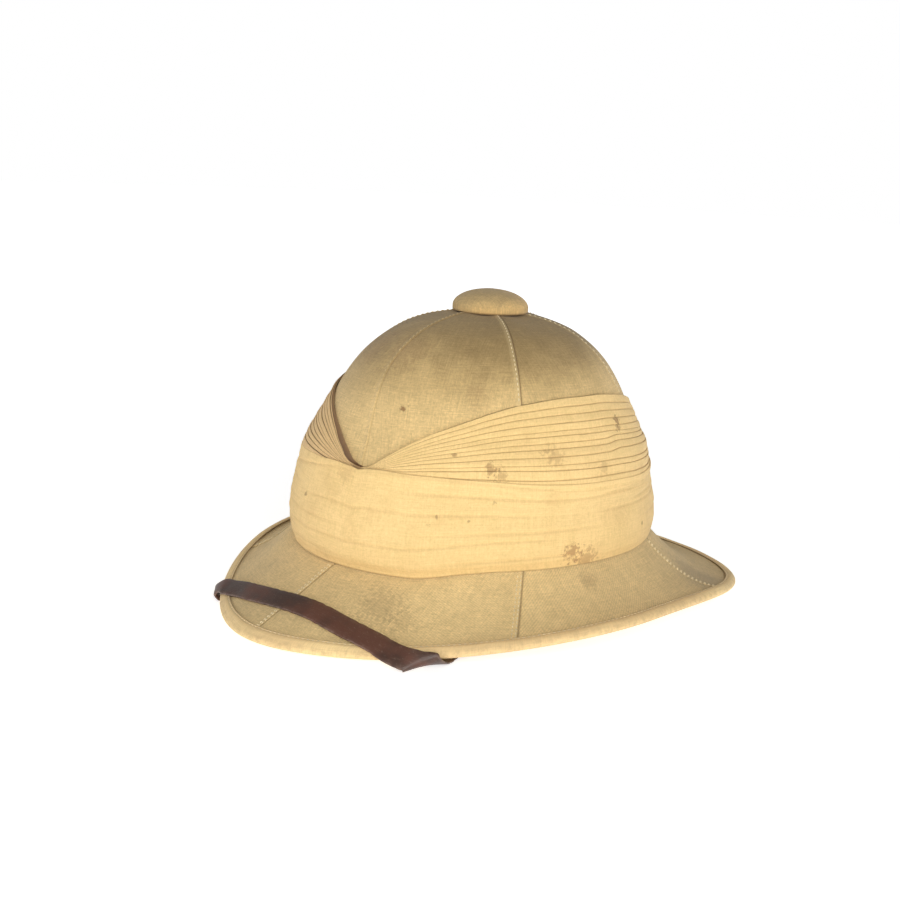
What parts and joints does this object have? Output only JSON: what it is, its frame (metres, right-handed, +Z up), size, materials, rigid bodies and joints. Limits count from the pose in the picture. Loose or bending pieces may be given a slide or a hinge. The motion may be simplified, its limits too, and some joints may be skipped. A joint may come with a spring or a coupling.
{
  "type": "pith helmet",
  "caption": "Sun helmet with a domed crown, sloping bound brim, pleated scarf pinched at the front, domed vent cap and a leather chin strap laid over the front of the brim.",
  "frame": {"origin": "middle of the hat's length and width, on the surface that it rests on", "axes": "+Z up through the vent cap, -Y to the wearer's front, +X to the wearer's left"},
  "size_m": [0.2786, 0.3474, 0.1795],
  "materials": {
    "khaki_canvas": "closely woven khaki cotton over pith, dusty and browner towards the top",
    "cream_muslin": "thin cream muslin in pressed pleats, with rust spots",
    "cream_tape": "folded cotton binding with one row of stitching, rubbed and slightly pink",
    "brown_leather": "dark brown strap leather, scuffed along its edges, half gloss",
    "aged_brass": "dull brass"
  },
  "bodies": {
    "root": {"crown": "khaki_canvas", "brim": "khaki_canvas", "brim_binding": "cream_tape", "scarf_band": "cream_muslin", "scarf_folds_left": "cream_muslin", "scarf_folds_right": "cream_muslin", "vent_cap": "khaki_canvas", "vent_post": "aged_brass", "chin_strap": "brown_leather", "strap_stud_left": "aged_brass", "strap_stud_right": "aged_brass"}
  },
  "joints": []
}
